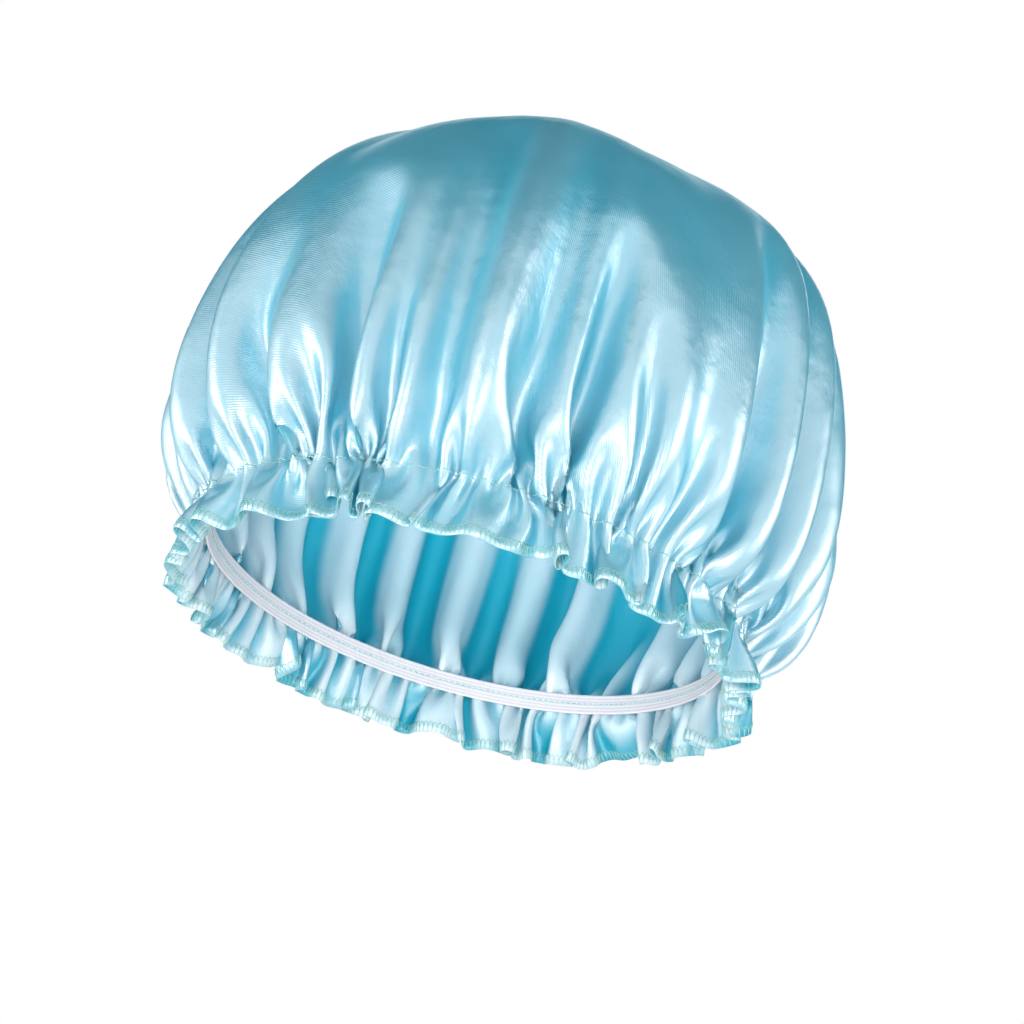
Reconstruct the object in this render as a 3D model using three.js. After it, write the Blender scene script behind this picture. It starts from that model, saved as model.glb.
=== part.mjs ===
// Satin hair bonnet: a disc of satin drawn in by a sewn elastic tape, which leaves a puffed crown above
// the gathering line and a ruffled frill below it, with an overlocked hem.
// Millimetres, +Z up through the crown. The origin is the centre of the surface that the hem stands on.
import * as THREE from "three";

// Elastic tape: radii are those of the loop as it is stretched in wear.
const BAND_RADIUS = 89; // outer face of the tape
const BAND_WIDTH = 7;
const BAND_THICKNESS = 0.9;
const BAND_LAP = 16; // length of tape that lies double where the ends are joined
const LAP_RAMP = 14; // length over which the upper end climbs onto the lower one
const LAP_ANGLE = -Math.PI / 2; // where the lower end starts, seen from above: the middle of the front

// Satin
const CLOTH = 0.8; // wall of the satin
const CROWN_BULGE = 17.5; // how far the crown swells out past the gathering line
const CROWN_WIDEST = 51; // gathering line up to the widest level
const CROWN_HEIGHT = 157.5; // gathering line up to the top
const CROWN_FULLNESS = 2.5; // how square the crown's shoulders are: 2 would be a plain half ellipse
const FRILL_DROP = 22; // gathering line down to the hem's lower edge
const FRILL_FLARE = 4; // how much wider the frill's hollows run at the hem than at the gathering line
const NECK = 1.5; // height of straight cloth on each side of the gathering line

// Folds, measured from hollow to ridge
const GATHER_DEPTH = 2.2; // at the gathering line
const CROWN_FOLD_DEPTH = 15; // at the deepest level of the crown, between folds of mean width
const RUFFLE_DEPTH = 11; // at the hem
const FOLD_SWELL = 0.14; // share of the crown's arc over which a fold opens to its full depth
const FOLD_END = 0.62; // share of the crown's arc where the folds have died out
const SHALLOWEST = 0.55; // least and greatest depth of a hollow, against one between folds of mean width
const DEEPEST = 1.15;

// Hollows between the folds, in degrees round the mouth from the right. They run through the gathering line.
const HOLLOWS = [
  -170, -156, -140, -121, -113, -105, -88, -79.5, -69.5, -61, -46, -34, -22, -9.5, 3.5,
  16, 29, 41.5, 53, 65, 78, 91, 104, 116, 128, 140, 152, 163, 174, 182,
];

// Sewing
const THREAD = 0.6; // thickness of a sewing thread
const HEM_WIDTH = 4; // height of the overlocked border
const SEAT = 0.3; // clearance between pieces that lie against each other

// Facets
const CROWN_STEPS = 2; // per fold: ridge and hollow
const CROWN_ROWS = 9;
const FRILL_STEPS = 4; // per fold
const BAND_STEPS = 120; // per turn

// Worked out from the sizes above
const GATHER_Z = FRILL_DROP;
const CLOTH_INNER = BAND_RADIUS + SEAT; // the satin's inner face in the hollows of the gathering line
const CLOTH_OUTER = CLOTH_INNER + CLOTH;
const CROWN_RADIUS = CLOTH_OUTER + CROWN_BULGE;
const BAND_INNER = BAND_RADIUS - BAND_THICKNESS;

const SATIN = new THREE.MeshStandardMaterial({ color: 0x7cc8e0, roughness: 0.32, metalness: 0 });
const ELASTIC = new THREE.MeshStandardMaterial({ color: 0xf1eff2, roughness: 0.85, metalness: 0 });
const SEWING_THREAD = new THREE.MeshStandardMaterial({ color: 0x9ed8cf, roughness: 0.6, metalness: 0 });

const { smoothstep, lerp, inverseLerp, clamp, degToRad, euclideanModulo } = THREE.MathUtils;

const TURN = 2 * Math.PI;
const FOLDS = HOLLOWS.length;
const MEAN_FOLD = TURN / FOLDS;

// Angle of a hollow by its place in the list, which goes on round the mouth.
function hollowAngle(place) {
  const turns = Math.floor(place / FOLDS);
  return degToRad(HOLLOWS[place - turns * FOLDS]) + turns * TURN;
}

// Angles from hollow to hollow, so that every ridge and every hollow has its own column of points.
function foldAngles(stepsPerFold) {
  return Array.from({ length: FOLDS * stepsPerFold }, (_, i) => {
    const fold = Math.floor(i / stepsPerFold);
    return lerp(hollowAngle(fold), hollowAngle(fold + 1), i / stepsPerFold - fold);
  });
}

// The fold that an angle falls in, and the share of its width from hollow to hollow.
function foldAt(angle) {
  const turned = hollowAngle(0) + euclideanModulo(angle - hollowAngle(0), TURN);
  const past = HOLLOWS.findIndex((_, place) => hollowAngle(place) > turned);
  const fold = past < 0 ? FOLDS - 1 : past - 1;
  return { fold, share: inverseLerp(hollowAngle(fold), hollowAngle(fold + 1), turned) };
}

// 0 in a hollow, 1 on a ridge.
function ridge(angle) {
  return (1 - Math.cos(TURN * foldAt(angle).share)) / 2;
}

// Depth of the hollow that is nearest to an angle, against one between folds of mean width.
function hollowDepth(angle) {
  const { fold, share } = foldAt(angle);
  const place = share < 0.5 ? fold + FOLDS : fold + FOLDS + 1;
  const width = (hollowAngle(place + 1) - hollowAngle(place - 1)) / 2;
  return clamp(width / MEAN_FOLD, SHALLOWEST, DEEPEST);
}

function evenAngles(steps, start = 0) {
  return Array.from({ length: steps }, (_, i) => start + (2 * Math.PI * i) / steps);
}

function polar(radius, angle, z) {
  return new THREE.Vector3(radius * Math.cos(angle), radius * Math.sin(angle), z);
}

// Joins one closed section per angle into a solid: a ring, or a strip with two end caps.
function loft(sections, isRing) {
  const corners = [];
  const addTriangle = (a, b, c) => {
    const isFlat = a.distanceTo(b) < 1e-6 || b.distanceTo(c) < 1e-6 || c.distanceTo(a) < 1e-6;
    if (!isFlat) corners.push(a, b, c);
  };
  const count = sections[0].length;
  const spans = isRing ? sections.length : sections.length - 1;
  for (let i = 0; i < spans; i++) {
    const here = sections[i];
    const next = sections[(i + 1) % sections.length];
    for (let j = 0; j < count; j++) {
      const k = (j + 1) % count;
      addTriangle(here[j], next[j], next[k]);
      addTriangle(here[j], next[k], here[k]);
    }
  }
  if (!isRing) {
    const first = sections[0];
    const last = sections[sections.length - 1];
    for (let j = 1; j < count - 1; j++) {
      addTriangle(first[0], first[j], first[j + 1]);
      addTriangle(last[0], last[j + 1], last[j]);
    }
  }
  return new THREE.BufferGeometry().setFromPoints(corners);
}

function piece(name, geometry, material) {
  const mesh = new THREE.Mesh(geometry, material);
  mesh.name = name;
  return mesh;
}

// Crown: half an ellipse below the widest level and half a fuller one above it, drawn into folds that fade
// towards the top.

const LOWER_HALF_HEIGHT = CROWN_WIDEST / Math.sqrt(1 - (CLOTH_OUTER / CROWN_RADIUS) ** 2);
const UPPER_HALF_HEIGHT = CROWN_HEIGHT - NECK - CROWN_WIDEST;
const LOWEST_SLOPE = -Math.asin(CROWN_WIDEST / LOWER_HALF_HEIGHT);

function crownFoldDepth(share) {
  const opened = lerp(GATHER_DEPTH, CROWN_FOLD_DEPTH, smoothstep(share, 0, FOLD_SWELL));
  return opened * (1 - smoothstep(share, FOLD_SWELL, FOLD_END));
}

// How far the folds lift the crown off its round form: half of each fold stands out and half sinks in.
function crownLift(share, angle) {
  if (share === 0) return GATHER_DEPTH * ridge(angle);
  const fold = 0.5 - hollowDepth(angle) * (1 - ridge(angle));
  return (GATHER_DEPTH / 2) * (1 - share) + crownFoldDepth(share) * fold;
}

// Outer and inner point of the crown at a share of its arc, from the neck (0) to the top (1).
function crownPair(share, angle) {
  const slope = lerp(LOWEST_SLOPE, Math.PI / 2, share);
  const isTop = share === 1;
  const isNeck = share === 0;
  const isUpper = slope > 0;
  const power = isUpper ? 2 / CROWN_FULLNESS : 1;
  const ringShare = isTop ? 0 : Math.cos(slope) ** power;
  const rise = isUpper ? UPPER_HALF_HEIGHT * Math.sin(slope) ** power : LOWER_HALF_HEIGHT * Math.sin(slope);
  const outRadius = isTop ? 0 : isNeck ? 1 : Math.cos(slope);
  const outHeight = isNeck ? 0 : Math.sin(slope);
  const lift = crownLift(share, angle);
  const radius = CROWN_RADIUS * ringShare + lift * outRadius;
  const z = GATHER_Z + NECK + CROWN_WIDEST + rise + lift * outHeight;
  return [polar(radius, angle, z), polar(radius - CLOTH * outRadius, angle, z - CLOTH * outHeight)];
}

function crownSection(angle) {
  const neckRadius = CLOTH_OUTER + GATHER_DEPTH * ridge(angle);
  const neckZ = GATHER_Z + SEAT / 2;
  const pairs = [[polar(neckRadius, angle, neckZ), polar(neckRadius - CLOTH, angle, neckZ)]];
  for (let row = 0; row <= CROWN_ROWS; row++) pairs.push(crownPair(row / CROWN_ROWS, angle));
  return [...pairs.map((pair) => pair[0]), ...pairs.map((pair) => pair[1]).reverse()];
}

const crown = piece("crown", loft(foldAngles(CROWN_STEPS).map(crownSection), true), SATIN);

// Frill: the same folds carried down from the gathering line, opening into a ruffle.

const HEM_FOOT = SEAT + THREAD; // the satin's cut edge above the surface that the hem stands on

// Radius of the frill's middle surface at a height.
function frillRadius(z, angle) {
  const share = smoothstep(GATHER_Z - NECK - z, 0, GATHER_Z - NECK);
  const hollow = CLOTH_INNER + CLOTH / 2 + FRILL_FLARE * share;
  return hollow + lerp(GATHER_DEPTH, RUFFLE_DEPTH, share) * ridge(angle);
}

// Point of the frill at a height, moved square to the cloth by an offset.
function frillPoint(z, angle, offset) {
  const reach = 1e-4;
  const radius = frillRadius(z, angle);
  const bend = (frillRadius(z, angle + reach) - frillRadius(z, angle - reach)) / (2 * reach);
  const square = Math.atan2(bend, radius);
  const point = polar(radius, angle, z);
  return point.add(polar(offset, angle - square, 0));
}

function frillSection(angle) {
  const levels = [GATHER_Z - SEAT / 2, GATHER_Z - NECK, (GATHER_Z - NECK + HEM_WIDTH) / 2, HEM_WIDTH, HEM_FOOT];
  const outer = levels.map((z) => frillPoint(z, angle, CLOTH / 2));
  const inner = levels.map((z) => frillPoint(z, angle, -CLOTH / 2));
  return [...outer.reverse(), ...inner];
}

const frill = piece("frill", loft(foldAngles(FRILL_STEPS).map(frillSection), true), SATIN);

// Elastic tape: one strip, longer than a turn, whose upper end climbs onto the lower end.

const LAP_SHARE = BAND_LAP / BAND_RADIUS;
const RAMP_SHARE = LAP_RAMP / BAND_RADIUS;
const LAP_RISE = BAND_THICKNESS + SEAT;
const LAP_MARGIN = TURN / BAND_STEPS; // the climb is over one step before the lower end

// How far inwards the tape has climbed, by the angle that it has run from its lower end.
function bandRise(run) {
  return LAP_RISE * smoothstep(run, TURN - LAP_MARGIN - RAMP_SHARE, TURN - LAP_MARGIN);
}

function bandSection(run) {
  const angle = LAP_ANGLE + run;
  const outer = BAND_RADIUS - bandRise(run);
  const inner = outer - BAND_THICKNESS;
  const low = GATHER_Z - BAND_WIDTH / 2;
  const high = GATHER_Z + BAND_WIDTH / 2;
  return [polar(outer, angle, low), polar(outer, angle, high), polar(inner, angle, high), polar(inner, angle, low)];
}

function bandRuns() {
  const wholeSteps = Math.ceil((TURN + LAP_SHARE) / (TURN / BAND_STEPS));
  const runs = Array.from({ length: wholeSteps }, (_, i) => (TURN * i) / BAND_STEPS);
  return [...runs, TURN + LAP_SHARE];
}

const elasticBand = piece("elastic_band", loft(bandRuns().map(bandSection), false), ELASTIC);

// Stitching of the tape: the needle thread shows on the tape, the looper thread on the satin outside.

// Four corners of a thread whose middle runs at a radius.
function threadSection(radius, angle, z) {
  const half = THREAD / 2;
  return [
    polar(radius + half, angle, z - half),
    polar(radius + half, angle, z + half),
    polar(radius - half, angle, z + half),
    polar(radius - half, angle, z - half),
  ];
}

// The needle thread climbs with the tape, and comes down just past the tape's upper end.
function needleSection(angle) {
  const run = euclideanModulo(angle - LAP_ANGLE, TURN);
  const lapEnd = LAP_SHARE + LAP_MARGIN;
  const isPastLap = run > lapEnd;
  const fall = LAP_RISE * (1 - smoothstep(run, lapEnd, lapEnd + RAMP_SHARE));
  const climb = LAP_RISE * smoothstep(run, TURN - 2 * LAP_MARGIN - RAMP_SHARE, TURN - 2 * LAP_MARGIN);
  const rise = isPastLap ? Math.max(fall, climb) : LAP_RISE;
  return threadSection(BAND_INNER - rise - SEAT - THREAD / 2, angle, GATHER_Z);
}

function looperSection(angle) {
  const cloth = CLOTH_OUTER + GATHER_DEPTH * ridge(angle);
  return threadSection(cloth + SEAT + THREAD / 2, angle, GATHER_Z);
}

const needleAngles = evenAngles(BAND_STEPS, LAP_ANGLE);
const bandNeedle = piece("band_needle_thread", loft(needleAngles.map(needleSection), true), SEWING_THREAD);
const looperAngles = foldAngles(FRILL_STEPS);
const bandLooper = piece("band_looper_thread", loft(looperAngles.map(looperSection), true), SEWING_THREAD);

// Overlocked hem: an upper looper outside and a lower looper inside wrap the cut edge and meet under it,
// and the needle thread runs along the top of the border.

const WRAP = CLOTH / 2 + SEAT; // inner face of a looper, from the middle of the satin

// L-shaped section of one looper thread: side is 1 outside the frill and -1 inside it.
function hemLooperSection(angle, side) {
  const top = HEM_WIDTH;
  const foot = THREAD;
  const near = side * WRAP;
  const far = side * (WRAP + THREAD);
  const middle = (side * SEAT) / 2;
  const outline = [
    frillPoint(top, angle, far),
    frillPoint(0, angle, far),
    frillPoint(0, angle, middle),
    frillPoint(foot, angle, middle),
    frillPoint(foot, angle, near),
    frillPoint(top, angle, near),
  ].map((point, i) => point.setZ([top, 0, 0, foot, foot, top][i]));
  return side > 0 ? outline.reverse() : outline;
}

function hemNeedleSection(angle) {
  const low = HEM_WIDTH + SEAT;
  const high = low + THREAD;
  return [
    frillPoint(low, angle, WRAP + THREAD),
    frillPoint(high, angle, WRAP + THREAD),
    frillPoint(high, angle, WRAP),
    frillPoint(low, angle, WRAP),
  ];
}

const hemAngles = foldAngles(FRILL_STEPS);
const hemUpper = hemAngles.map((angle) => hemLooperSection(angle, 1));
const hemLower = hemAngles.map((angle) => hemLooperSection(angle, -1));
const hemUpperLooper = piece("hem_upper_looper", loft(hemUpper, true), SEWING_THREAD);
const hemLowerLooper = piece("hem_lower_looper", loft(hemLower, true), SEWING_THREAD);
const hemNeedle = piece("hem_needle_thread", loft(hemAngles.map(hemNeedleSection), true), SEWING_THREAD);

const bonnet = new THREE.Group();
bonnet.add(crown, frill, elasticBand, bandNeedle, bandLooper, hemUpperLooper, hemLowerLooper, hemNeedle);

export default bonnet;
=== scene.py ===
"""A satin hair bonnet: one disc of satin gathered on a sewn elastic tape, with an overlocked hem.

Metres, +Z up. The hem stands on z = 0, and the photographed side looks along -Y.
"""
import bpy
import numpy as np
from mathutils import Matrix, Vector


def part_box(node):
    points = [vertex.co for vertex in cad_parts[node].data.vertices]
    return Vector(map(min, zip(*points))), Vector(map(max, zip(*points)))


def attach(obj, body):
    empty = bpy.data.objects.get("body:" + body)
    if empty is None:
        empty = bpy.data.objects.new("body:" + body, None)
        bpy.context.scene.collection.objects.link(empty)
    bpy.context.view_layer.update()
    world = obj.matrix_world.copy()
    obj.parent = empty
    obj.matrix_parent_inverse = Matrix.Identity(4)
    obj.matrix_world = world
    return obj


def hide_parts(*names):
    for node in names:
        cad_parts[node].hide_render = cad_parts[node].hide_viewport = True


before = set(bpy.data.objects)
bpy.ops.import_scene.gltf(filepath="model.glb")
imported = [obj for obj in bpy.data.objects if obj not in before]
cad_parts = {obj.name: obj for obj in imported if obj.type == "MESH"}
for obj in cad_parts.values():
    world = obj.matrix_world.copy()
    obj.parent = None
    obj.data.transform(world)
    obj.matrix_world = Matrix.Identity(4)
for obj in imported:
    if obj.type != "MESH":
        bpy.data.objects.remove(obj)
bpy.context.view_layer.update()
TAU = 2 * np.pi
MM = 0.001

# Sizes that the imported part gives.
TAPE_LOW, TAPE_HIGH = (np.array(corner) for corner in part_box("elastic_band"))
CROWN_LOW, CROWN_HIGH = (np.array(corner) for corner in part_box("crown"))
LINE_Z = (TAPE_LOW[2] + TAPE_HIGH[2]) / 2
TAPE_WIDTH = TAPE_HIGH[2] - TAPE_LOW[2]
TAPE_RADIUS = TAPE_HIGH[0]
CROWN_TOP = CROWN_HIGH[2]
CROWN_REACH = CROWN_HIGH[0]

# Sizes of the satin.
SATIN_THICKNESS = 0.3 * MM
BULGE_DEPTH = 5.75 * MM
CROWN_RADIUS = CROWN_REACH - BULGE_DEPTH
CROWN_WIDEST = 51 * MM
CROWN_FULLNESS = 2.5
PUCKER_DEPTH = 3.2 * MM
NECK_GAP = 0.4 * MM
NECK_RADIUS = TAPE_RADIUS + NECK_GAP + PUCKER_DEPTH
HEM_RADIUS = 96 * MM
HEM_Z = 0.6 * MM
HEM_WIDTH = 4 * MM

# How the satin gathers.
SEED = 34
PUCKERS = 120
FLANK_LIMIT = 1.9
CROWN_PUCKER_REACH = 11 * MM
FRILL_PUCKER_REACH = 5 * MM
FOLD_REACH = 120 * MM
LOBE_REACH = 25 * MM
LEAN_RUN = 80 * MM
SWING_REACH = 12 * MM
BIAS_GIVE = 0.7
BACK_GIVE = 0.1
BACK_FROM = 0.1
BACK_OVER = 0.7
HEM_TAKE_UP = 0.4
RING_STEP = 2.8 * MM
POINTS_PER_RING = 8
RELAX_STEPS = 500
PRESSURE = 0.0004
PRESSURE_MEAN = 0.25
BENDING = 0.25
LEAST_GAP = -0.4
FRILL_STIFFER = 1.5
BEND_LENGTH = 3.7 * MM
FILL_LENGTH = 22 * MM
CROWN_HOLD = 0.02
FRILL_HOLD = 0.01
TAPE_GAP = 0.3 * MM
TIME_STEP = 0.35
DAMPING = 0.985
FLAT_RINGS = 4

# The guide that draws the crown's folds to their places: its strength, and its power up the crown.
FOLD_GUIDE = 0.06 * MM
GUIDE_LIMITS = (0.1, 1.15)
GUIDE_POWER = 2.2
GUIDE_POWER_SWING = 0.7

# Random waves round the cap, in the order of their draws: lowest order, highest order and spread.
FOLD_WAVES = {
    "pucker_drift": (2, 30, 2.0),
    "lean": (1, 7, 0.8),
    "pucker_reach": (3, 25, 0.5),
    "fold_reach": (2, 12, 0.4),
    "pucker_size": (8, 40, 0.2),
    "fold_size": (3, 16, 0.25),
    "broad_size": (2, 9, 0.3),
}
GUIDE_WAVES = (4, 15, 0.65)
SLOWEST_FOLD = 7
SLOWEST_STAND = 9

# How folds lean over: the swing of the skew from the front to the back, and its mean.
CROWN_SKEW = (0.35, -0.15)
FRILL_SKEW = (0.5, 0.1)
BROAD_SHIFT = 1.1

# The hollows between the crown's folds, in degrees round the cap from its right.
HOLLOWS = (
    -170, -156, -140, -121, -113, -105, -88, -79.5, -69.5, -61, -46, -34, -22, -9.5, 3.5,
    16, 29, 41.5, 53, 65, 78, 91, 104, 116, 128, 140, 152, 163, 174, 182,
)

# The frill's lobes round the cap: the degrees that each spans, and the lengths of cloth gathered in it.
LOBES_FROM = np.radians(-177)
FRONT_LOBES = (
    (22, 1.6), (26, 1.5), (7, 2.3), (7, 2.3), (9, 2.2),
    (22, 1.5), (10, 2.2), (12, 2.1), (19, 1.9), (20, 2.2),
)
BACK_LOBES = 22

# Sizes of the tape and the threads.
TAPE_THICKNESS = 0.9 * MM
TAPE_RIBS = 6
RIB_DEPTH = 0.06 * MM
TAPE_LAP = 16 * MM
LAP_ANGLE = -np.pi / 2
TAPE_STITCH = 2.2 * MM
HEM_STITCH = 2.1 * MM
THREAD = 0.45 * MM
HEM_THREAD = 0.24 * MM
LAP_GAP = 0.1 * MM

# The satin's mesh: columns at the hem and round the middle, a row's step, the narrowest cell, and the
# depth of a fold that its painted shade goes by.
HEM_COLUMNS = 768
MIDDLE_COLUMNS = 12
ROW_STEP = 1.2
NARROWEST_CELL = 0.7
FOLD_DEPTH = 6 * MM


# The cut disc.

def meridian():
    """The cap's outline from the middle of the crown to the hem: distance run, radius and height.

    The upper crown is a superellipse, the part under its widest ring is an ellipse that ends at the
    gathering line, and the frill is a straight flare down to the hem.
    """
    rise = CROWN_TOP - LINE_Z - CROWN_WIDEST
    drop = CROWN_WIDEST / np.sqrt(1 - (NECK_RADIUS / CROWN_RADIUS) ** 2)
    turn = np.linspace(np.pi / 2, -np.arcsin(CROWN_WIDEST / drop), 2000)
    across = np.abs(np.cos(turn))
    along = np.abs(np.sin(turn))
    power = 2 / CROWN_FULLNESS
    radius = CROWN_RADIUS * np.where(turn < 0, across, across ** power)
    height = LINE_Z + CROWN_WIDEST + np.where(turn < 0, -drop * along, rise * along ** power)
    flare = np.linspace(0, 1, 200)
    radius = np.append(radius, NECK_RADIUS + (HEM_RADIUS - NECK_RADIUS) * flare[1:])
    height = np.append(height, LINE_Z + (HEM_Z - LINE_Z) * flare[1:])
    run = np.append(0, np.cumsum(np.hypot(np.diff(radius), np.diff(height))))
    return run, radius, height, run[len(turn) - 1], run[-1]


RUN, RUN_RADIUS, RUN_HEIGHT, LINE_RUN, HEM_RUN = meridian()


def cloth_radius(run, turn):
    """The radius that a ring of the cut has when it is gathered: its distance run, less what is taken up.

    A woven disc shears on the bias, which takes up a share of its excess over the crown. The share fades
    to nothing at the gathering line, and is smaller at the back, where the crown is less filled. Below
    the line the overlock stitches draw the edge in, by a share that grows evenly down to the hem.
    """
    away = np.clip((LINE_RUN - run) / LINE_RUN, 0, 0.5) * 2
    below = np.clip((run - LINE_RUN) / (HEM_RUN - LINE_RUN), 0, 1)
    back = np.clip((np.sin(turn) - BACK_FROM) / BACK_OVER, 0, 1)
    share = BIAS_GIVE + (BACK_GIVE - BIAS_GIVE) * back * back * (3 - 2 * back)
    give = share * away * away * (3 - 2 * away) + HEM_TAKE_UP * below
    return run - give * np.maximum(run - np.interp(run, RUN, RUN_RADIUS), 0)


def cut_rings():
    """Rings of the flat disc: their radii, with one ring on the gathering line, and their point counts."""
    rings = int(round(HEM_RUN / RING_STEP))
    line = int(round(LINE_RUN / HEM_RUN * rings))
    crown = np.linspace(0, LINE_RUN, line + 1)
    frill = np.linspace(LINE_RUN, HEM_RUN, rings - line + 1)
    counts = POINTS_PER_RING * np.arange(rings + 1)
    counts[0] = 1
    return np.append(crown, frill[1:]), counts, line


RING_RUN, RING_COUNT, LINE_RING = cut_rings()
RING_START = np.append(0, np.cumsum(RING_COUNT))
POINTS = RING_START[-1]
POINT_RING = np.repeat(np.arange(len(RING_COUNT)), RING_COUNT)
POINT_RUN = RING_RUN[POINT_RING]
POINT_TURN = (np.arange(POINTS) - RING_START[POINT_RING]) * TAU / RING_COUNT[POINT_RING]


def cut_triangles():
    """Triangles between each ring and the next: one on every outer edge, one on every inner edge."""
    faces = []
    for ring in range(len(RING_COUNT) - 1):
        few, many = RING_COUNT[ring], RING_COUNT[ring + 1]
        edge = np.arange(many)
        outer = RING_START[ring + 1] + edge
        outer_next = RING_START[ring + 1] + (edge + 1) % many
        near = np.round((edge + 0.5) / many * few).astype(int)
        near_next = np.append(near[1:], near[0] + few)
        inner = RING_START[ring] + near % few
        inner_next = RING_START[ring] + near_next % few
        faces.append(np.stack([inner, outer, outer_next], 1))
        wide = inner != inner_next
        faces.append(np.stack([inner, outer_next, inner_next], 1)[wide])
    return np.concatenate(faces)


# The gathers.

def random_waves(draw, lowest, highest, size, turn):
    """A sum of sines round the cap, with orders from lowest to highest and the given spread."""
    order = np.arange(lowest, highest + 1)
    swing = draw.normal(size=len(order))
    swing *= size / np.sqrt((swing ** 2).sum() / 2)
    shift = draw.uniform(0, TAU, len(order))
    return (swing * np.sin(np.outer(turn, order) + shift)).sum(1)


def without_slow(values, lowest):
    """The rows of values without their sines of orders under lowest."""
    waves = np.fft.rfft(values, axis=1)
    waves[:, :lowest] = 0
    return np.fft.irfft(waves, values.shape[1], axis=1)


def limited(angle):
    """An angle held under the flank limit by a hyperbolic tangent."""
    return FLANK_LIMIT * np.tanh(angle / FLANK_LIMIT)


def frill_lobes(turn):
    """The frill's phase, which grows by a turn for each lobe, and its steepness, by turn of the cut disc.

    A lobe's steepness is the swing of angle whose cosine, averaged over a sine, is one over its gather,
    and its share of the cut is the degrees that it spans times its gather.
    """
    left = 360 - sum(span for span, _ in FRONT_LOBES)
    mean = cloth_radius(HEM_RUN, 0) / HEM_RADIUS
    lobes = np.array(FRONT_LOBES + ((left / BACK_LOBES, mean),) * BACK_LOBES)
    swings = np.linspace(0, 6, 300)
    wave = np.sin(np.arange(64) * TAU / 64)
    shares = np.cos(limited(swings[:, None] * wave)).mean(1)
    steepness = np.interp(-1 / lobes[:, 1], -shares, swings)
    cloth = lobes[:, 0] * lobes[:, 1]
    edges = np.append(0, np.cumsum(cloth)) / cloth.sum() * TAU
    at = np.mod(turn - LOBES_FROM, TAU)
    phase = np.interp(at, edges, TAU * np.arange(len(edges)))
    return phase, steepness[np.minimum((phase / TAU).astype(int), len(lobes) - 1)] / steepness[-1]


def crown_phase(turn):
    """The crown folds' phase, which grows by a turn for each fold and is whole turns in the hollows."""
    hollows = np.radians(HOLLOWS + (HOLLOWS[0] + 360,))
    at = np.mod(turn - hollows[0], TAU) + hollows[0]
    return TAU * np.interp(at, hollows, np.arange(len(hollows)))


def fold_angles(run, turn):
    """How steeply the cloth leaves the cap's outline, by distance run and turn, before its gather is set.

    The angle is a sum of three sines round the cap: puckers next to the gathering line, folds or lobes
    above and below them, and folds of half that number where the crown is widest. Their phases drift and
    lean, so that no two folds are alike, and a skew makes the front bulge outwards and the back inwards.
    """
    draw = np.random.default_rng(SEED)
    waves = {name: random_waves(draw, *orders, turn) for name, orders in FOLD_WAVES.items()}
    pucker_reach = np.exp(waves["pucker_reach"])
    fold_reach = np.exp(waves["fold_reach"])
    pucker_size = 1 + waves["pucker_size"]
    fold_size = 1 + waves["fold_size"]
    broad_size = 1 + waves["broad_size"]
    away = np.abs(run - LINE_RUN)[:, None]
    crown = (run < LINE_RUN)[:, None]
    frill_phase, frill_size = frill_lobes(turn)
    near = np.where(crown, np.exp(-(away / LOBE_REACH) ** 2), 1)
    lobe_size = 1 + near * (frill_size - 1)
    reach = np.where(crown, CROWN_PUCKER_REACH, FRILL_PUCKER_REACH) * pucker_reach
    puckers = np.exp(-away / reach)
    folds = np.where(crown, (1 - puckers) * np.exp(-away / (FOLD_REACH * fold_reach)), 1 - puckers)
    broad = 1 - puckers - folds
    leaning = np.where(crown, crown_phase(turn) + waves["lean"] * away / LEAN_RUN, frill_phase)
    crown_skew = (CROWN_SKEW[0] * np.sin(turn) + CROWN_SKEW[1]) * (1 - puckers)
    skew = np.where(crown, crown_skew, FRILL_SKEW[0] * np.sin(turn) + FRILL_SKEW[1])
    skewed = np.sin(leaning - skew * np.sin(leaning))
    angle = np.sqrt(puckers) * pucker_size * np.sin(PUCKERS * turn + waves["pucker_drift"])
    angle = angle + np.sqrt(folds) * np.where(crown, fold_size, 1) * skewed
    return lobe_size * angle + np.sqrt(broad) * broad_size * np.sin(leaning / 2 + BROAD_SHIFT)


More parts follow.
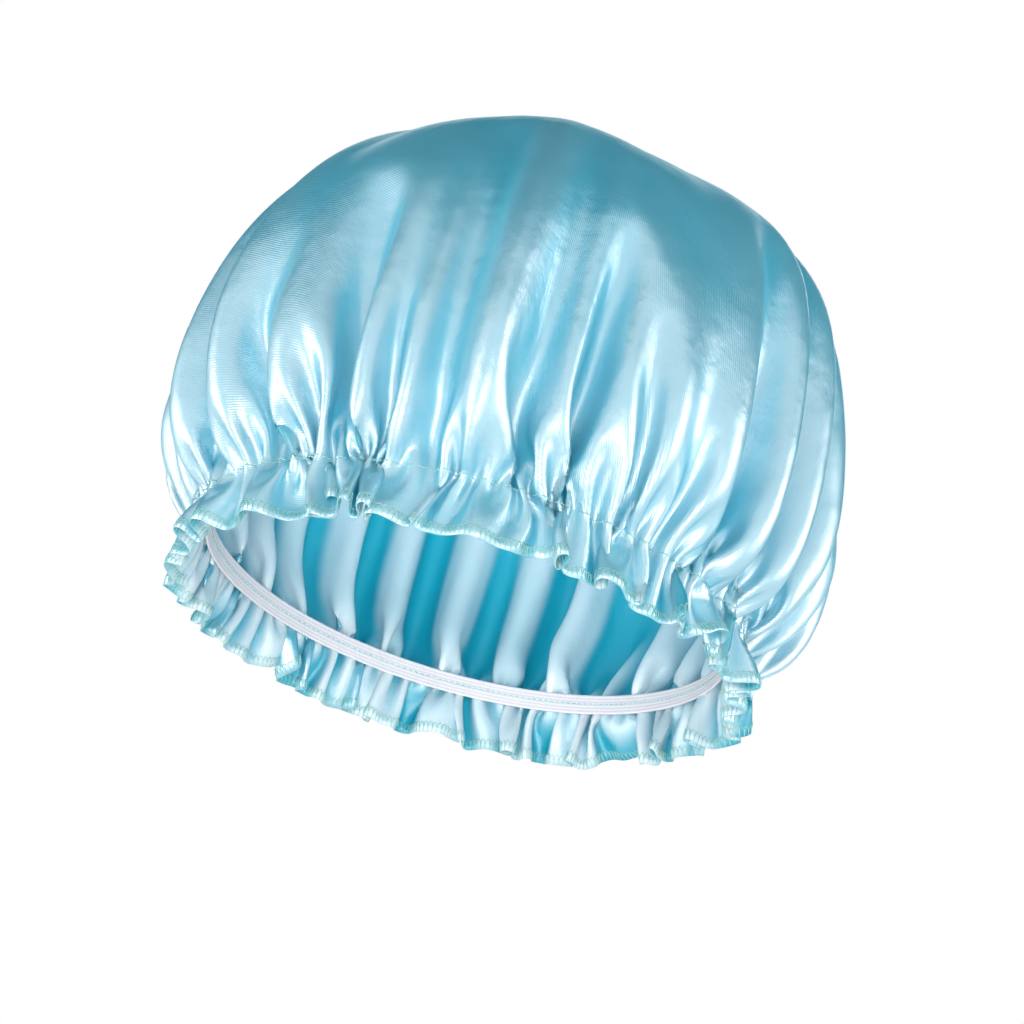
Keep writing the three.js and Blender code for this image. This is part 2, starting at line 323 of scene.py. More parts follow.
def gathered():
    """The disc's points when it is first gathered.

    Round each ring the cloth meanders: its direction is the fold angle, limited so that a flank hardly
    overhangs, and scaled so that the ring's whole length fits round the cap. Its sine summed along the
    ring is how far a point stands off the outline, and its cosine is how far round the cap it comes.
    """
    samples = 4096
    halvings = 30
    steepest = 12.0
    turn = np.arange(samples) * TAU / samples
    run = RING_RUN[1:]
    radius = np.interp(run, RUN, RUN_RADIUS)
    height = np.interp(run, RUN, RUN_HEIGHT)
    step = 0.1 * MM
    out = np.interp(run + step, RUN, RUN_HEIGHT) - np.interp(run - step, RUN, RUN_HEIGHT)
    up = np.interp(run + step, RUN, RUN_RADIUS) - np.interp(run - step, RUN, RUN_RADIUS)
    slope = np.hypot(out, up)
    cloth = cloth_radius(run[:, None], turn)
    excess = np.sqrt(np.maximum(cloth / radius[:, None] - 1, 1e-4))
    raw = fold_angles(run, turn) * excess / excess.mean(1, keepdims=True)
    wanted = np.minimum(radius, cloth.mean(1))[:, None]
    low = np.zeros((len(run), 1))
    high = np.full((len(run), 1), steepest)
    for _ in range(halvings):
        scale = (low + high) / 2
        angle = limited(raw * scale)
        loose = (np.cos(angle) * cloth).mean(1, keepdims=True) > wanted
        low = np.where(loose, scale, low)
        high = np.where(loose, high, scale)
    length = cloth * TAU / samples
    climb = np.sin(angle) - np.sin(angle).mean(1, keepdims=True)
    stand = without_slow(np.cumsum(climb * length, axis=1), SLOWEST_FOLD)
    round_cap = np.cumsum(np.cos(angle) * cloth, axis=1)
    swing = round_cap / round_cap[:, -1:] * TAU - turn
    quick_swing = without_slow(swing, SLOWEST_FOLD)
    near = np.where(run < LINE_RUN, np.exp(-((LINE_RUN - run) / SWING_REACH) ** 2), 1)[:, None]
    swing = quick_swing + near * (without_slow(swing, 1) - quick_swing)
    points = [np.array([[0, 0, CROWN_TOP]])]
    for ring in range(len(run)):
        at = np.arange(RING_COUNT[ring + 1]) * TAU / RING_COUNT[ring + 1]
        off = np.interp(at, turn, stand[ring], period=TAU)
        way = at + np.interp(at, turn, swing[ring], period=TAU)
        far = radius[ring] - off * out[ring] / slope[ring]
        high_up = height[ring] + off * up[ring] / slope[ring]
        points.append(np.stack([far * np.cos(way), far * np.sin(way), high_up], 1))
    return np.concatenate(points)


def relaxed(place):
    """The gathered disc after its forces have settled, by steps of damped motion.

    Each edge pulls back to its length on the flat cut. Bending pulls each point towards its neighbours'
    mean, with what it pulls on them. What fills the crown presses outwards, most at the front, and
    keeps each ring at the outline's mean radius and height. A guide, stronger in some places round the
    cap than in others, pushes out where the crown's folds belong and in at the hollows, and fades up
    the crown. Neighbours on a ring may overhang a little and no more, the gathering line stays where it
    is sewn, and the tape is not entered. At the end the middle of the crown, inside its few smallest
    rings, is laid flat.
    """
    faces = cut_triangles()
    edges = np.concatenate([faces[:, [0, 1]], faces[:, [1, 2]], faces[:, [2, 0]]])
    edges = np.unique(np.sort(edges, 1), axis=0)
    head, tail = edges[:, 0], edges[:, 1]
    turned = 2 * np.sin((POINT_TURN[head] - POINT_TURN[tail]) / 2)
    cloth = cloth_radius(POINT_RUN, POINT_TURN)
    length = np.hypot(POINT_RUN[head] - POINT_RUN[tail], (cloth[head] + cloth[tail]) / 2 * turned)
    mean_length = length.mean()
    valence = np.bincount(edges.ravel(), minlength=POINTS)[:, None]
    crown_faces = faces[(POINT_RING[faces] <= LINE_RING).all(1)]
    frill = POINT_RING > LINE_RING
    stiffness = np.where(frill, FRILL_STIFFER, 1)[:, None] * BENDING * (BEND_LENGTH / mean_length) ** 2
    ringed = np.arange(1, POINTS)
    own_ring = POINT_RING[ringed]
    following = np.where(ringed + 1 == RING_START[own_ring + 1], RING_START[own_ring], ringed + 1)
    least_gap = LEAST_GAP * TAU * cloth[ringed] / RING_COUNT[own_ring]
    ring_radius = np.interp(RING_RUN, RUN, RUN_RADIUS)
    ring_height = np.interp(RING_RUN, RUN, RUN_HEIGHT)
    hold = np.where(np.arange(len(RING_RUN)) <= LINE_RING, CROWN_HOLD, FRILL_HOLD)
    up_crown = np.clip((LINE_RUN - POINT_RUN) / LINE_RUN, 0, 1)
    filled = PRESSURE_MEAN + (PRESSURE_MEAN - 1) * np.sin(POINT_TURN) * (1 - up_crown)
    pressure = PRESSURE / FILL_LENGTH * filled[:, None]
    uneven = 1 + random_waves(np.random.default_rng(SEED), *GUIDE_WAVES, POINT_TURN)
    power = GUIDE_POWER - GUIDE_POWER_SWING * np.sin(POINT_TURN)
    guide = FOLD_GUIDE * np.clip(uneven, *GUIDE_LIMITS) * np.where(frill, 0, 1 - up_crown) ** power
    sewn = (POINT_RING == LINE_RING)[:, None]
    tape_clear = TAPE_RADIUS + TAPE_GAP

    def gather_on(index, vectors):
        return np.stack([np.bincount(index, vectors[:, axis], POINTS) for axis in range(3)], 1)

    def to_neighbours(field):
        step = field[tail] - field[head]
        return (gather_on(head, step) - gather_on(tail, step)) / valence

    speed = np.zeros_like(place)
    for _ in range(RELAX_STEPS):
        step = place[tail] - place[head]
        size = np.linalg.norm(step, axis=1)
        strain = size / length - 1
        pull = step * (strain * mean_length / size)[:, None]
        force = gather_on(head, pull) - gather_on(tail, pull)
        force -= to_neighbours(to_neighbours(place) * stiffness)
        first, second, third = (place[crown_faces[:, corner]] for corner in range(3))
        push = np.cross(second - first, third - first)
        force += pressure * sum(gather_on(crown_faces[:, corner], push) for corner in range(3))
        far = np.hypot(place[:, 0], place[:, 1])
        away = place[:, :2] / np.maximum(far, 1e-6)[:, None]
        mean_far = np.bincount(POINT_RING, far) / RING_COUNT
        mean_high = np.bincount(POINT_RING, place[:, 2]) / RING_COUNT
        force[:, :2] += away * (hold * (ring_radius - mean_far))[POINT_RING][:, None]
        force[:, 2] += (hold * (ring_height - mean_high))[POINT_RING]
        ridge = -np.cos(crown_phase(np.arctan2(place[:, 1], place[:, 0])))
        force[:, :2] += away * (guide * ridge)[:, None]
        side = np.stack([-away[ringed, 1], away[ringed, 0], np.zeros(len(ringed))], 1)
        gap = ((place[following] - place[ringed]) * side).sum(1)
        shove = side * np.maximum(least_gap - gap, 0)[:, None]
        force += gather_on(following, shove) - gather_on(ringed, shove)
        speed = np.where(sewn, 0, (speed + TIME_STEP * force) * DAMPING)
        place = place + TIME_STEP * speed
        far = np.hypot(place[:, 0], place[:, 1])
        inside = (np.abs(place[:, 2] - LINE_Z) < TAPE_WIDTH / 2) & (far < tape_clear)
        place[:, :2] *= np.where(inside, tape_clear / np.maximum(far, 1e-6), 1)[:, None]
        place[:, 2] = np.maximum(place[:, 2], HEM_Z)
    middle = POINT_RING < FLAT_RINGS
    rim = POINT_RING == FLAT_RINGS
    centre = place[rim].mean(0)
    rays = (place[rim] - centre).T
    outwards = [np.interp(POINT_TURN[middle], POINT_TURN[rim], ray, period=TAU) for ray in rays]
    place[middle] = centre + np.stack(outwards, 1) * (POINT_RING[middle] / FLAT_RINGS)[:, None]
    return place


SATIN = relaxed(gathered())


def cubic(before, start, end, after, share):
    """A smooth curve through four values in a row, at a share of the way from the second to the third."""
    bend = 2 * before - 5 * start + 4 * end - after
    twist = 3 * (start - end) + after - before
    return start + 0.5 * share * (end - before + share * (bend + share * twist))


def on_ring(ring, turn):
    """Points of the satin on the given rings at the given turns, by a cubic through four neighbours."""
    count = RING_COUNT[ring]
    at = np.mod(turn / TAU, 1) * count
    first = np.floor(at).astype(int)
    near = [SATIN[RING_START[ring] + (first + step) % count] for step in (-1, 0, 1, 2)]
    return cubic(*near, (at - first)[..., None])


def satin_at(run, turn):
    """Points of the satin by distance run from the crown's middle and turn, by a cubic across four rings.

    Past the middle the next ring is the one on the far side, and past the hem the cloth goes on straight.
    """
    last = len(RING_RUN) - 1
    at = np.interp(run, RING_RUN, np.arange(last + 1))
    ring = np.minimum(np.floor(at).astype(int), last - 1)
    before = on_ring(np.abs(ring - 1), np.where(ring < 1, turn + np.pi, turn))
    start = on_ring(ring, turn)
    end = on_ring(ring + 1, turn)
    beyond = on_ring(np.minimum(ring + 2, last), turn)
    after = np.where((ring == last - 1)[..., None], 2 * end - start, beyond)
    inside = cubic(before, start, end, after, (at - ring)[..., None])
    past = np.maximum(run - HEM_RUN, 0)[..., None] / (HEM_RUN - RING_RUN[-2])
    return inside + past * (end - start)


def over_satin(run, turn, lift):
    """Points at a height over the satin's outer side, negative for its inner one, and its normals.

    A normal is the cross product of two short steps on the satin: down the cap and round it.
    """
    step = 0.3 * MM
    down = satin_at(run + step, turn) - satin_at(run - step, turn)
    across = satin_at(run, turn + step / HEM_RUN) - satin_at(run, turn - step / HEM_RUN)
    normal = np.cross(down, across)
    normal /= np.linalg.norm(normal, axis=-1, keepdims=True)
    return satin_at(run, turn) + normal * np.asarray(lift)[..., None], normal


# Shader maths.

class Wire:
    """A node's socket that takes part in Python expressions, each of which adds a Math node."""

    def __init__(self, finish, socket):
        self.finish = finish
        self.socket = socket

    def math(self, operation, *others):
        values = dict(enumerate((self,) + others))
        return self.finish.node("ShaderNodeMath", {"operation": operation}, values)["Value"]

    def __add__(self, other):
        return self.math("ADD", other)

    def __sub__(self, other):
        return self.math("SUBTRACT", other)

    def __rsub__(self, other):
        return (self * -1).math("ADD", other)

    def __mul__(self, other):
        return self.math("MULTIPLY", other)

    def __gt__(self, other):
        return self.math("GREATER_THAN", other)

    def sine(self):
        return self.math("SINE")

    def smooth(self, low, high):
        settings = {"interpolation_type": "SMOOTHSTEP"}
        values = {"Value": self, "From Min": low, "From Max": high}
        return self.finish.node("ShaderNodeMapRange", settings, values)["Result"]

    __radd__ = __add__
    __rmul__ = __mul__


class Outputs:
    """A node whose outputs are read by name, as wires."""

    def __init__(self, finish, node):
        self.finish = finish
        self.node = node

    def __getitem__(self, name):
        return Wire(self.finish, self.node.outputs[name])


class Finish:
    """One material or world and the nodes in its tree."""

    def __init__(self, owner):
        owner.use_nodes = True
        self.owner = owner
        self.tree = owner.node_tree
        self.shader = self.tree.nodes.get("Principled BSDF")

    def node(self, kind, settings=None, values=None):
        """Adds a node, sets its settings and then its sockets' values or links."""
        node = self.tree.nodes.new(kind)
        for name, value in (settings or {}).items():
            setattr(node, name, value)
        for name, value in (values or {}).items():
            self.put(node.inputs[name], value)
        return Outputs(self, node)

    def put(self, socket, value):
        if isinstance(value, Wire):
            self.tree.links.new(value.socket, socket)
        else:
            socket.default_value = value

    def shade(self, **values):
        """Sets the shader's sockets, by name with _ for a space."""
        for name, value in values.items():
            self.put(self.shader.inputs[name.replace("_", " ")], value)

    def blend(self, factor, first, second):
        """A colour between two."""
        values = {"Factor": factor, 6: first, 7: second}
        return self.node("ShaderNodeMix", {"data_type": "RGBA"}, values)[2]

    def noise(self, where, scale, detail=2.0):
        values = {"Vector": where, "Scale": scale, "Detail": detail}
        return self.node("ShaderNodeTexNoise", None, values)["Fac"]

    def bump(self, height, distance, strength=1.0):
        values = {"Height": height, "Distance": distance, "Strength": strength}
        return self.node("ShaderNodeBump", None, values)["Normal"]


def new_finish(name):
    return Finish(bpy.data.materials.new(name))


def rgb(red, green, blue):
    """A linear colour from 8-bit values."""
    share = np.array([red, green, blue]) / 255
    linear = np.where(share <= 0.04045, share / 12.92, ((share + 0.055) / 1.055) ** 2.4)
    return (*linear.tolist(), 1.0)


# Finishes.

TWILL_PITCH = 0.9 * MM
TWILL_LEAN = 0.6
YARN_SCALE = (60, 2500, 1)
CREASE_SCALE = 130.0
WRINKLE_SCALE = 38.0
SATIN_RELIEF = 0.12 * MM
THROUGH_SHARE = 0.3
COURSE_PITCH = 0.8 * MM
FUZZ_SCALE = 900.0
TAPE_RELIEF = 0.08 * MM
FIBRE_SCALE = 2600.0
TONE_SCALE = 90.0
THREAD_RELIEF = 0.05 * MM


def satin_finish(name, painted_hollow_shade, painted_proud_light, side, roughness, density):
    """One face of the satin: gloss on a saturated ground, and light that comes through the thin cloth.

    The weave lies on the cut's own flat coordinates, as diagonal twill lines and drawn yarns. The ground
    goes from a painted shade colour in the hollows to a painted light colour on the proud folds, by how
    far the cloth stands to this side of the cap's outline, and soft wrinkles of a few sizes cross it.
    """
    finish = new_finish(name)
    where = finish.node("ShaderNodeUVMap", {"uv_map": "cut"})["UV"]
    flat = finish.node("ShaderNodeSeparateXYZ", None, {"Vector": where})
    stand = finish.node("ShaderNodeAttribute", {"attribute_name": "stand"})["Fac"] * side
    twill = ((flat["X"] + flat["Y"] * TWILL_LEAN) * (TAU / TWILL_PITCH)).sine()
    drawn = finish.node("ShaderNodeMapping", None, {"Vector": where, "Scale": YARN_SCALE})["Vector"]
    yarn = finish.noise(drawn, 1.0)
    crease = finish.noise(where, CREASE_SCALE, 3.0)
    wrinkle = finish.noise(where, WRINKLE_SCALE, 1.0)
    # Painted shade: the stand attribute darkens the base colour in fold hollows and pales it on proud
    # folds.
    share = stand + yarn * 0.2 + wrinkle * 0.3 - 0.25
    relief = twill * 0.15 + yarn * 0.5 + crease * 3.5 + wrinkle * 9
    finish.shade(
        Base_Color=finish.blend(share.smooth(-0.6, 0.4), painted_hollow_shade, painted_proud_light),
        Roughness=yarn * 0.08 + crease * 0.06 + (roughness - 0.07),
        Specular_IOR_Level=1.0,
        IOR=density,
        Normal=finish.bump(relief, SATIN_RELIEF),
    )
    through = finish.node("ShaderNodeBsdfTranslucent", None, {"Color": SATIN_GLOW})["BSDF"]
    solid = Wire(finish, finish.shader.outputs["BSDF"])
    cloth = finish.node("ShaderNodeMixShader", None, {0: THROUGH_SHARE, 1: solid, 2: through})["Shader"]
    finish.put(finish.tree.nodes["Material Output"].inputs["Surface"], cloth)
    return finish.owner


def tape_finish():
    """White knitted elastic: fine cross courses between the lengthwise ribs, with painted shade in the
    grooves between them.
    """
    finish = new_finish("knitted_elastic")
    where = finish.node("ShaderNodeUVMap", {"uv_map": "cut"})["UV"]
    flat = finish.node("ShaderNodeSeparateXYZ", None, {"Vector": where})
    course = (flat["X"] * (TAU / COURSE_PITCH)).sine()
    rib = (flat["Y"] * (TAU * TAPE_RIBS / TAPE_WIDTH)).sine()
    fuzz = finish.noise(where, FUZZ_SCALE)
    # Painted shade: the colour is greyer in the grooves between ribs and courses and paler on the ribs.
    painted_proud_light = (rib * 0.25 + course * 0.12 + 0.6).smooth(0, 1)
    finish.shade(
        Base_Color=finish.blend(painted_proud_light, rgb(206, 199, 205), rgb(230, 225, 229)),
        Roughness=fuzz * 0.2 + 0.6,
        Specular_IOR_Level=0.35,
        Sheen_Weight=0.2,
        Normal=finish.bump(course * 0.5 + fuzz * 0.5, TAPE_RELIEF),
    )
    return finish.owner


def thread_finish():
    """Pale mint spun thread, with a twist that shows as fine uneven light and shade."""
    finish = new_finish("mint_thread")
    where = finish.node("ShaderNodeTexCoord")["Object"]
    fibre = finish.noise(where, FIBRE_SCALE)
    tone = finish.noise(where, TONE_SCALE)
    lit = (fibre * 0.6 + tone * 0.4).smooth(0.3, 0.7)
    finish.shade(
        Base_Color=finish.blend(lit, rgb(112, 186, 184), rgb(178, 222, 216)),
        Roughness=fibre * 0.2 + 0.42,
        Specular_IOR_Level=0.6,
        Sheen_Weight=0.2,
        Normal=finish.bump(fibre, THREAD_RELIEF),
    )
    return finish.owner


SATIN_GLOW = (0.02, 0.72, 0.84, 1)
# Outer face: painted shade, a deeper blue in the fold hollows and a paler blue on the proud folds.
SATIN_FACE = satin_finish(
    "satin_face",
    painted_hollow_shade=(0.03, 0.56, 0.76, 1),
    painted_proud_light=(0.18, 0.67, 0.85, 1),
    side=1,
    roughness=0.33,
    density=3.3,
)
# Inner face: painted shade and light, deep teal in the hollows between pleats and near white on the proud
# strips.
SATIN_BACK = satin_finish(
    "satin_back",
    painted_hollow_shade=(0.005, 0.38, 0.50, 1),
    painted_proud_light=(0.84, 0.92, 0.94, 1),
    side=-1,
    roughness=0.38,
    density=1.8,
)
ELASTIC = tape_finish()
MINT = thread_finish()


# Meshes.

def new_piece(name, points, faces, finishes, nodes, cut=None):
    """A smooth piece of the object that rides on its one body; cut gives its points' flat coordinates."""
    mesh = bpy.data.meshes.new(name)
    mesh.from_pydata(points.reshape(-1, 3).tolist(), [], faces)
    mesh.shade_smooth()
    if cut is not None:
        corners = np.empty(len(mesh.loops), dtype=np.int32)
        mesh.loops.foreach_get("vertex_index", corners)
        layer = mesh.uv_layers.new(name="cut")
        layer.data.foreach_set("uv", cut.reshape(-1, 2)[corners].astype(np.float32).ravel())
    for finish in finishes:
        mesh.materials.append(finish)
    piece = bpy.data.objects.new(name, mesh)
    bpy.context.scene.collection.objects.link(piece)
    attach(piece, "root")
    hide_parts(*nodes)
    return piece


def tube_faces(runs, steps, sides, closed):
    """Quads of tubes with rings of points in order, and a cap on each end of an open one."""
    ring = np.arange(runs * steps * sides).reshape(runs, steps, sides)
    after = np.roll(ring, -1, 1) if closed else ring[:, 1:]
    ring_from = ring if closed else ring[:, :-1]
    quads = np.stack([ring_from, np.roll(ring_from, -1, 2), np.roll(after, -1, 2), after], -1)
    faces = quads.reshape(-1, 4).tolist()
    if not closed:
        faces += ring[:, 0, ::-1].tolist() + ring[:, -1].tolist()
    return faces


def thread_tubes(path, up, thickness, sides, closed):
    """Round thread along paths of points (runs, steps, 3), with up giving one side of its section."""
    if closed:
        ahead = np.roll(path, -1, 1) - np.roll(path, 1, 1)
    else:
        ahead = np.gradient(path, axis=1)
    ahead /= np.linalg.norm(ahead, axis=-1, keepdims=True)
    across = np.cross(ahead, up)
    across /= np.linalg.norm(across, axis=-1, keepdims=True)
    over = np.cross(across, ahead)
    turn = np.arange(sides) * TAU / sides
    section = np.cos(turn)[:, None] * across[..., None, :] + np.sin(turn)[:, None] * over[..., None, :]
    points = path[..., None, :] + thickness / 2 * section
    return points, tube_faces(path.shape[0], path.shape[1], sides, closed)


# Pieces.

def satin_rows():
    """Rows of the satin's mesh from the hem to the middle: distance run and number of columns.

    Cells are about square, and the columns halve where they become too narrow.
    """
    columns = HEM_COLUMNS
    rows = [(HEM_RUN, columns)]
    widest = TAU * HEM_RUN / columns
    while columns > MIDDLE_COLUMNS:
        run, columns = rows[-1]
        run -= ROW_STEP * TAU * run / columns
        if TAU * run / columns < NARROWEST_CELL * widest:
            columns //= 2
        rows.append((run, columns))
    return rows


def stand_off(ring):
    """How far a ring of points stands outside its own slow outline, in lengths of a fold's usual depth:
    the measure that the satin's painted shade goes by.
    """
    far = np.hypot(ring[:, 0], ring[:, 1])
    return without_slow(far[None], SLOWEST_STAND)[0] / FOLD_DEPTH


def make_satin():
    """The whole gathered disc as one closed cloth: rows of points on the relaxed satin."""
    rows = satin_rows()
    points = []
    painted_shade_stands = []
    cut = []
    faces = []
    start = 0
    for row, (run, columns) in enumerate(rows):
        turn = np.arange(columns) * TAU / columns
        points.append(satin_at(np.full(columns, run), turn))
        painted_shade_stands.append(stand_off(points[-1]))
        cut.append(run * np.stack([np.cos(turn), np.sin(turn)], 1))
        here = start + np.arange(columns)
        if row > 0:
            before = rows[row - 1][1]
            outer = start - before + np.arange(before)
            if before == columns:
                faces += np.stack([outer, np.roll(outer, -1), np.roll(here, -1), here], 1).tolist()
            else:
                even, odd, later = outer[::2], outer[1::2], np.roll(outer[::2], -1)
                faces += np.stack([even, odd, here], 1).tolist()
                faces += np.stack([odd, np.roll(here, -1), here], 1).tolist()
                faces += np.stack([odd, later, np.roll(here, -1)], 1).tolist()
        start += columns
    last = rows[-1][1]
    points.append(SATIN[:1])
    painted_shade_stands.append(np.zeros(1))
    cut.append(np.zeros((1, 2)))
    rim = start - last + np.arange(last)
    faces += np.stack([rim, np.roll(rim, -1), np.full(last, start)], 1).tolist()
    points = np.concatenate(points)
    cut = np.concatenate(cut)
    finishes = [SATIN_FACE, SATIN_BACK]
    piece = new_piece("gathered_satin", points, faces, finishes, ["crown", "frill"], cut)
    # The stand attribute carries painted shade: the satin's colour darkens where the cloth lies in a
    # hollow.
    stand = piece.data.attributes.new("stand", "FLOAT", "POINT")
    stand.data.foreach_set("value", np.concatenate(painted_shade_stands).astype(np.float32))
    wall = piece.modifiers.new("cloth_thickness", "SOLIDIFY")
    wall.thickness = SATIN_THICKNESS
    wall.offset = 0
    wall.material_offset = 1
    wall.material_offset_rim = 0
    return piece


def make_tape():
    """The elastic: a ribbed strip once round inside the gathers, its end lapped over its start.

    The section is a flat band whose two faces are waves with one swell to a rib. The lapped end steps
    inwards by the tape's own thickness.
    """
    across = 40
    steps = 480
    lap = TAPE_LAP / TAPE_RADIUS
    share = np.linspace(0, 1, across)
    swell = RIB_DEPTH * (np.abs(np.sin(share * np.pi * TAPE_RIBS)) - 1)
    half = TAPE_THICKNESS / 2 + swell
    depth = np.append(half, -half[::-1])
    height = np.append(share, share[::-1]) * TAPE_WIDTH - TAPE_WIDTH / 2
    along = np.linspace(0, 1, steps)
    turn = LAP_ANGLE - lap / 2 + along * (TAU + lap)
    step_in = np.clip((along * (TAU + lap) - TAU + 2 * lap) / lap, 0, 1)
    step_in = step_in * step_in * (3 - 2 * step_in) * (TAPE_THICKNESS + LAP_GAP)
    far = TAPE_RADIUS - TAPE_THICKNESS / 2 - step_in[:, None] + depth
    high = np.broadcast_to(LINE_Z + height, far.shape)
    points = np.stack([far * np.cos(turn)[:, None], far * np.sin(turn)[:, None], high], -1)
    cut = np.stack(np.broadcast_arrays((turn * TAPE_RADIUS)[:, None], height), -1)
    faces = tube_faces(1, steps, 2 * across, closed=False)
    return new_piece("elastic_tape", points, faces, [ELASTIC], ["elastic_band"], cut)


def dashes(count, fill, steps):
    """Places along evenly spaced dashes, counted in dashes, and their rise: the root of a sine."""
    share = np.linspace(0, 1, steps)
    places = np.arange(count)[:, None] + 0.5 + (share - 0.5) * fill
    return places, np.broadcast_to(np.sin(share * np.pi) ** 0.5, places.shape)


def make_tape_stitches():
    """The needle thread on the tape's inner face: a row of dashes that dip into the tape at their ends."""
    far = TAPE_RADIUS - TAPE_THICKNESS + RIB_DEPTH
    count = int(round(TAU * far / TAPE_STITCH))
    place, rise = dashes(count, fill=0.6, steps=6)
    turn = place / count * TAU
    stand = 0.45
    far = far - rise * THREAD * stand
    path = np.stack([far * np.cos(turn), far * np.sin(turn), np.full_like(far, LINE_Z)], -1)
    up = np.stack([np.cos(turn), np.sin(turn), np.zeros_like(turn)], -1)
    points, faces = thread_tubes(path, up, THREAD, sides=6, closed=False)
    return new_piece("tape_needle_stitches", points, faces, [MINT], ["band_needle_thread"])


def make_line_stitches():
    """The looper thread outside: a dash along the puckered line for each stitch of the tape's row."""
    count = int(round(TAU * TAPE_RADIUS / TAPE_STITCH))
    place, rise = dashes(count, fill=0.7, steps=10)
    turn = place / count * TAU
    stand = 0.6
    lift = SATIN_THICKNESS / 2 + (rise - 0.5) * THREAD * stand
    path, up = over_satin(np.full_like(turn, LINE_RUN), turn, lift)
    points, faces = thread_tubes(path, up, THREAD, sides=6, closed=False)
    return new_piece("line_looper_stitches", points, faces, [MINT], ["band_looper_thread"])


HEM_COUNT = int(round(TAU * HEM_RUN / HEM_STITCH))


def make_hem_needle():
    """The overlock's needle thread: a row of dashes outside, one hem width in from the edge."""
    place, rise = dashes(HEM_COUNT, fill=0.85, steps=5)
    turn = place / HEM_COUNT * TAU
    stand = 0.4
    lift = SATIN_THICKNESS / 2 + rise * HEM_THREAD * stand
    path, up = over_satin(np.full_like(turn, HEM_RUN - HEM_WIDTH), turn, lift)
    points, faces = thread_tubes(path, up, HEM_THREAD, sides=5, closed=False)
    return new_piece("hem_needle_stitches", points, faces, [MINT], ["hem_needle_thread"])


def make_hem_looper(name, node, side, shift):
    """A looper thread: a zigzag on one side of the cloth from the needle row to the edge, which it wraps.

    Across the hem it goes as a cosine, along the hem it leans back and forth, and at the edge its height
    falls to the cloth's middle, where the two loopers meet.
    """
    per_stitch = 8
    lean = 0.22
    past_edge = 0.35 * HEM_THREAD
    wrap = 6
    stitch = np.arange(HEM_COUNT * per_stitch) / per_stitch
    swing = 0.5 - 0.5 * np.cos(TAU * stitch)
    turn = (stitch + shift + lean * np.sin(TAU * stitch)) / HEM_COUNT * TAU
    run = HEM_RUN - HEM_WIDTH + swing * (HEM_WIDTH + past_edge)
    lift = side * (SATIN_THICKNESS / 2 + 0.5 * HEM_THREAD) * (1 - swing ** wrap)
    path, up = over_satin(run, turn, lift)
    points, faces = thread_tubes(path[None], up[None], HEM_THREAD, sides=5, closed=True)
    return new_piece(name, points, faces, [MINT], [node])


satin = make_satin()
tape = make_tape()
make_tape_stitches()
make_line_stitches()
hem = [
    make_hem_needle(),
    make_hem_looper("hem_upper_loops", "hem_upper_looper", side=1, shift=0.0),
    make_hem_looper("hem_lower_loops", "hem_lower_looper", side=-1, shift=0.5),
]
2 * HEM_RUN
2 * HEM_RUN
np.pi * HEM_RUN ** 2


# Camera, at the photograph's viewing angle, and stage.
VIEW_ELEVATION = np.radians(-25.35)
VIEW_ROLL = np.radians(15.77)
VIEW_DISTANCE = 1.0
VIEW_WIDTH = 0.348
IMAGE_SIZE = 1024
MIDDLE = Vector((0, 0, 0.0925))
MIDDLE_PIXEL = (519.7, 407.0)
FLAG_ELEVATION = np.radians(75)
FLAG_DISTANCE = 1.5
FLAG_HALF = 2.6
FLOOR_HALF = 6.0
MOUTH_LAMP_PLACE = Vector((0, -0.07, -0.025))
MOUTH_LAMP_WAY = Vector((0, -1, -1)).normalized()
MOUTH_LAMP_SPREAD = np.radians(80)


def view_axes():
    """The camera's right, up and forward directions: level along +Y, raised, then rolled."""
    forward = Vector((0, np.cos(VIEW_ELEVATION), -np.sin(VIEW_ELEVATION)))
    level = Vector((1, 0, 0))
    up = level.cross(forward)
    right = level * np.cos(VIEW_ROLL) + up * np.sin(VIEW_ROLL)
    return right, up * np.cos(VIEW_ROLL) - level * np.sin(VIEW_ROLL), forward


RIGHT, UP, FORWARD = view_axes()


def make_camera():
    """The camera stands off the cap's middle and aims beside it, so that the middle falls on its pixel."""
    pixel = VIEW_WIDTH / IMAGE_SIZE
    place = MIDDLE - FORWARD * VIEW_DISTANCE
    aim = MIDDLE - RIGHT * (MIDDLE_PIXEL[0] - IMAGE_SIZE / 2) * pixel
    aim -= UP * (IMAGE_SIZE / 2 - MIDDLE_PIXEL[1]) * pixel
    ahead = (aim - place).normalized()
    right = ahead.cross(UP).normalized()
    up = right.cross(ahead)
    lens = bpy.data.cameras.new("camera")
    lens.sensor_width = 36
    lens.lens = lens.sensor_width * VIEW_DISTANCE / VIEW_WIDTH
    camera = bpy.data.objects.new("camera", lens)
    bpy.context.scene.collection.objects.link(camera)
    camera.matrix_world = Matrix((right, up, -ahead)).transposed().to_4x4()
    camera.matrix_world.translation = place
    bpy.context.scene.camera = camera


def hang(thing, way, place):
    """Puts an object of the stage at a place, facing back along the way that leads there."""
    bpy.context.scene.collection.objects.link(thing)
    thing.matrix_world = way.to_track_quat("Z", "Y").to_matrix().to_4x4()
    thing.matrix_world.translation = place


def soft_box(name, way, place, size, power):
    """A square lamp."""
    light = bpy.data.lights.new(name, "AREA")
    light.size = size
    light.energy = power
    lamp = bpy.data.objects.new(name, light)
    hang(lamp, way, place)
    return lamp


def make_lamp(name, right, up, near, distance, size, power, in_gloss=True):
    """A soft box, placed by its direction from the cap's middle as the camera sees it.

    One that is not in gloss lights the object without a reflection of its own.
    """
    way = (RIGHT * right + UP * up - FORWARD * near).normalized()
    lamp = soft_box(name, way, MIDDLE + way * distance, size, power)
    lamp.visible_glossy = in_gloss


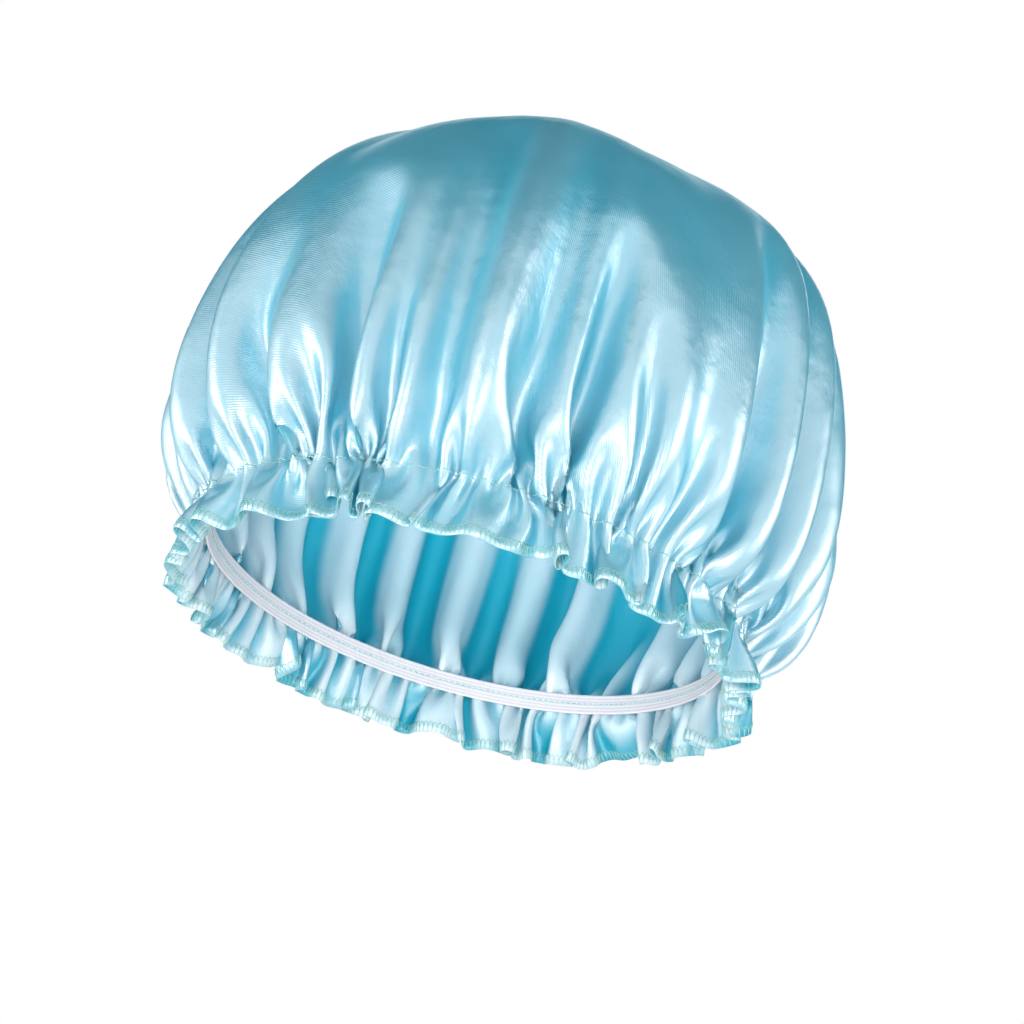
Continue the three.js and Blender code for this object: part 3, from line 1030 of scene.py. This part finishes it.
def make_mouth_lamp(size, power):
    """A small soft box in the mouth, behind the front frill, that looks up at the back of the inside."""
    lamp = soft_box("mouth_box", MOUTH_LAMP_WAY, MOUTH_LAMP_PLACE, size, power)
    lamp.data.spread = MOUTH_LAMP_SPREAD
    lamp.visible_camera = False


def square_board(name, half, finish):
    """A flat square of the stage, round the origin and facing up."""
    corners = [(-half, -half, 0), (half, -half, 0), (half, half, 0), (-half, half, 0)]
    mesh = bpy.data.meshes.new(name)
    mesh.from_pydata(corners, [], [(0, 1, 2, 3)])
    mesh.materials.append(finish.owner)
    return bpy.data.objects.new(name, mesh)


def make_floor():
    """A pale floor under the hem, with a glow of its own that evens out the lamps' light on it.

    It is clear from below, where the photograph looks from, and blocks no lamp.
    """
    finish = new_finish("floor")
    finish.shade(
        Base_Color=(0.32, 0.325, 0.33, 1),
        Roughness=0.8,
        Specular_IOR_Level=0.1,
        Emission_Color=(1, 1, 1, 1),
        Emission_Strength=0.55,
    )
    below = finish.node("ShaderNodeNewGeometry")["Backfacing"]
    clear = finish.node("ShaderNodeBsdfTransparent")["BSDF"]
    solid = Wire(finish, finish.shader.outputs["BSDF"])
    mixed = finish.node("ShaderNodeMixShader", None, {0: below, 1: solid, 2: clear})["Shader"]
    finish.put(finish.tree.nodes["Material Output"].inputs["Surface"], mixed)
    floor = square_board("floor", FLOOR_HALF, finish)
    bpy.context.scene.collection.objects.link(floor)
    floor.visible_diffuse = False
    floor.visible_glossy = False
    floor.visible_transmission = False
    floor.visible_shadow = False


def make_flag():
    """A dark board over and behind the cap, as studios hang to keep a ceiling out of gloss.

    Only gloss sees it.
    """
    finish = new_finish("flag")
    finish.shade(Base_Color=(0.05, 0.05, 0.05, 1), Roughness=0.9, Specular_IOR_Level=0.0)
    flag = square_board("flag", FLAG_HALF, finish)
    way = Vector((0, np.cos(FLAG_ELEVATION), np.sin(FLAG_ELEVATION)))
    hang(flag, way, MIDDLE + way * FLAG_DISTANCE)
    flag.visible_camera = False
    flag.visible_diffuse = False
    flag.visible_transmission = False
    flag.visible_shadow = False


def make_world(fill):
    """White to the camera and in reflections and glass, and a soft fill on the object."""
    world = bpy.data.worlds.new("studio")
    bpy.context.scene.world = world
    finish = Finish(world)
    path = finish.node("ShaderNodeLightPath")
    seen = path["Is Camera Ray"] + path["Is Glossy Ray"] + path["Is Transmission Ray"]
    strength = (seen > 0) * (1 - fill) + fill
    background = finish.tree.nodes["Background"]
    finish.put(background.inputs["Color"], (1, 1, 1, 1))
    finish.put(background.inputs["Strength"], strength)


make_camera()
make_lamp("front_box", -0.05, -0.15, 1.0, distance=1.4, size=0.7, power=7)
make_lamp("low_box", 0.0, -0.5, 0.85, distance=1.2, size=0.8, power=7.5, in_gloss=False)
make_mouth_lamp(size=0.06, power=0.048)
make_lamp("top_box", 0.0, 1.0, 0.3, distance=1.4, size=1.0, power=4, in_gloss=False)
make_lamp("left_box", -0.95, 0.0, 0.35, distance=1.1, size=0.7, power=5.5)
make_lamp("right_box", 1.0, -0.05, 0.3, distance=1.1, size=0.7, power=5.5)
make_lamp("back_box", 0.1, 0.0, -1.0, distance=1.2, size=1.0, power=8)
make_floor()
make_flag()
make_world(fill=0.42)
bpy.context.scene.view_settings.view_transform = "Standard"
